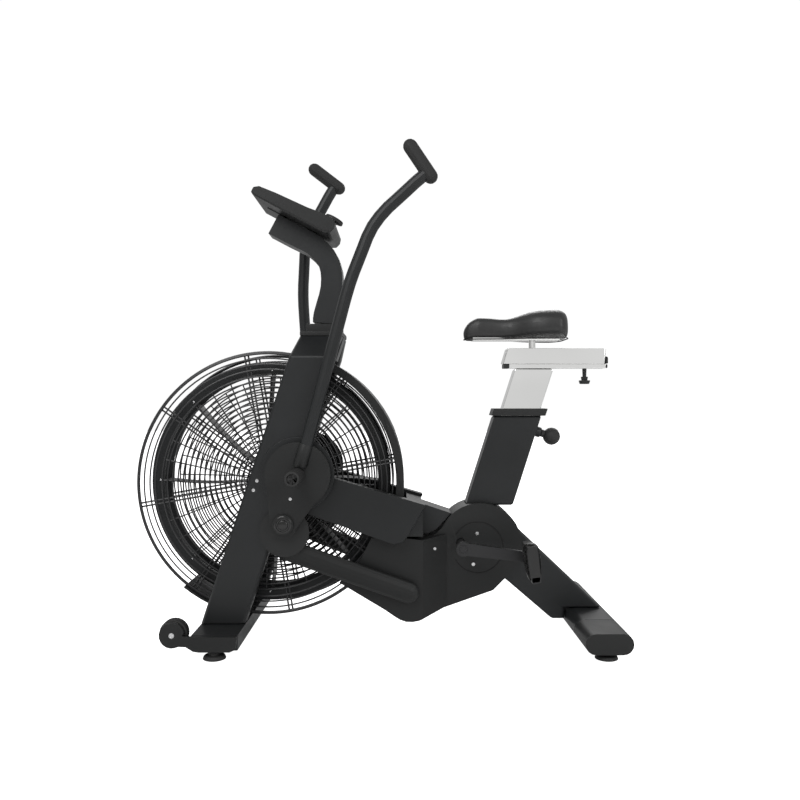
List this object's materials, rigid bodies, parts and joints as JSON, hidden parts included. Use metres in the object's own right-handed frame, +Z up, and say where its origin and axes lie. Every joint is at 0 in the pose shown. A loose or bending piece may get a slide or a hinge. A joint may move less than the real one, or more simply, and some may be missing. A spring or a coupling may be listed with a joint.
{
  "type": "exercise bike",
  "caption": "Upright air-resistance exercise bike with a caged front fan, swinging hand levers linked to side rods, pedals and an adjustable saddle on a chrome post.",
  "frame": {"origin": "on the floor under the middle of the bike", "axes": "+Z up, +X from the fan to the saddle, +Y to the rider's right as seen facing the fan; the rider faces -X"},
  "size_m": [1.256, 0.59, 1.3346],
  "materials": {
    "black_paint": "satin",
    "black_steel": "satin",
    "black_plastic": "fine moulded texture",
    "black_rubber": "matt",
    "bright_chrome": "polished",
    "saddle_vinyl": "soft grain"
  },
  "bodies": {
    "frame": {"upper_wind_shield": "black_plastic", "left_front_leg": "black_paint", "right_front_leg": "black_paint", "left_side_beam": "black_paint", "right_side_beam": "black_paint", "left_pivot_plate": "black_paint", "right_pivot_plate": "black_paint", "head_block": "black_paint", "neck": "black_paint", "front_stabiliser": "black_paint", "rear_stabiliser": "black_paint", "frame_bridge": "black_paint", "rear_strut": "black_paint", "seat_tube": "black_paint", "left_fan_guard": "black_steel", "right_fan_guard": "black_steel", "fan_axle": "black_steel", "lower_wind_shield": "black_plastic", "head_cap": "black_plastic", "left_caster_arm": "black_plastic", "right_caster_arm": "black_plastic", "left_rear_foot_cap": "black_plastic", "right_rear_foot_cap": "black_plastic", "left_drive_cover": "black_plastic", "right_drive_cover": "black_plastic", "seat_collar": "black_plastic", "console_body": "black_plastic", "left_foot_peg": "black_rubber", "right_foot_peg": "black_rubber", "left_front_leveller": "black_rubber", "left_rear_leveller": "black_rubber", "right_front_leveller": "black_rubber", "right_rear_leveller": "black_rubber", "drive_belt": "black_rubber"},
    "fan": {"fan_wheel": "black_paint"},
    "crank": {"crank_spindle": "black_steel", "drive_pulley": "black_steel", "left_crank_arm": "black_steel", "right_crank_arm": "black_steel"},
    "left_pedal": {"left_pedal": "black_rubber"},
    "right_pedal": {"right_pedal": "black_rubber"},
    "jackshaft": {"jackshaft": "black_steel"},
    "left_lever": {"left_lever_tube": "black_paint", "left_lever_grip": "black_rubber", "left_lever_plate": "black_plastic"},
    "right_lever": {"right_lever_tube": "black_paint", "right_lever_grip": "black_rubber", "right_lever_plate": "black_plastic"},
    "left_link": {"left_link_rod": "black_plastic"},
    "right_link": {"right_link_rod": "black_plastic"},
    "seat_post": {"seat_post": "bright_chrome", "seat_rail": "bright_chrome"},
    "saddle": {"seat_carriage": "bright_chrome", "saddle_mount": "bright_chrome", "saddle_cushion": "saddle_vinyl"},
    "slider_knob": {"slider_knob": "black_plastic"},
    "height_knob": {"height_knob": "black_rubber"},
    "console_dial": {"console_dial": "black_rubber"},
    "left_caster": {"left_caster": "black_rubber"},
    "right_caster": {"right_caster": "black_rubber"}
  },
  "joints": [
    {"name": "fan_spin", "type": "hinge", "parent": "frame", "child": "fan", "pos_m": [-0.281, 0, 0.412], "axis": [0, 1, 0], "continuous": true},
    {"name": "crank_spin", "type": "hinge", "parent": "frame", "child": "crank", "pos_m": [0.228, 0, 0.249], "axis": [0, 1, 0], "continuous": true},
    {"name": "left_pedal_spin", "type": "hinge", "parent": "crank", "child": "left_pedal", "pos_m": [0.39177, -0.213, 0.22889], "axis": [0, 1, 0], "continuous": true},
    {"name": "right_pedal_spin", "type": "hinge", "parent": "crank", "child": "right_pedal", "pos_m": [0.06423, 0.213, 0.26911], "axis": [0, 1, 0], "continuous": true},
    {"name": "jackshaft_spin", "type": "hinge", "parent": "frame", "child": "jackshaft", "pos_m": [0.128, 0, 0.15], "axis": [0, 1, 0], "continuous": true},
    {"name": "left_lever_swing", "type": "hinge", "parent": "frame", "child": "left_lever", "pos_m": [-0.192, -0.185, 0.441], "axis": [0, 1, 0], "range_deg": [-18.7, 0]},
    {"name": "right_lever_swing", "type": "hinge", "parent": "frame", "child": "right_lever", "pos_m": [-0.192, 0.185, 0.441], "axis": [0, 1, 0], "range_deg": [0, 18.7]},
    {"name": "left_link_pivot", "type": "hinge", "parent": "left_lever", "child": "left_link", "pos_m": [-0.228, -0.166, 0.316], "axis": [0, 1, 0], "range_deg": [0, 18.7]},
    {"name": "right_link_pivot", "type": "hinge", "parent": "right_lever", "child": "right_link", "pos_m": [-0.18602, 0.166, 0.31106], "axis": [0, 1, 0], "range_deg": [-18.7, 0]},
    {"name": "seat_height", "type": "slide", "parent": "frame", "child": "seat_post", "axis": [0.3048, 0, 0.9524], "range_m": [-0.08, 0.08]},
    {"name": "saddle_slide", "type": "slide", "parent": "seat_post", "child": "saddle", "axis": [1, 0, 0], "range_m": [-0.035, 0.035]},
    {"name": "slider_knob_turn", "type": "hinge", "parent": "seat_post", "child": "slider_knob", "pos_m": [0.573, 0, 0.69], "axis": [0, 0, 1], "range_deg": [-90, 90]},
    {"name": "height_knob_pull", "type": "slide", "parent": "frame", "child": "height_knob", "axis": [0.9524, 0, -0.3048], "range_m": [0, 0.008], "stiffness_N_per_m": 800},
    {"name": "console_dial_turn", "type": "hinge", "parent": "frame", "child": "console_dial", "pos_m": [-0.12207, 0, 1.11207], "axis": [0.4679, 0, 0.8838], "range_deg": [-150, 150]},
    {"name": "left_caster_spin", "type": "hinge", "parent": "frame", "child": "left_caster", "pos_m": [-0.486, -0.242, 0.0606], "axis": [0, 1, 0], "continuous": true},
    {"name": "right_caster_spin", "type": "hinge", "parent": "frame", "child": "right_caster", "pos_m": [-0.486, 0.242, 0.0606], "axis": [0, 1, 0], "continuous": true}
  ],
  "couplings": [
    {"joint": "right_lever_swing", "follows": "left_lever_swing", "ratio": -1},
    {"joint": "left_link_pivot", "follows": "left_lever_swing", "ratio": -1},
    {"joint": "right_link_pivot", "follows": "left_lever_swing", "ratio": 1},
    {"joint": "jackshaft_spin", "follows": "crank_spin", "ratio": 2.7778}
  ]
}
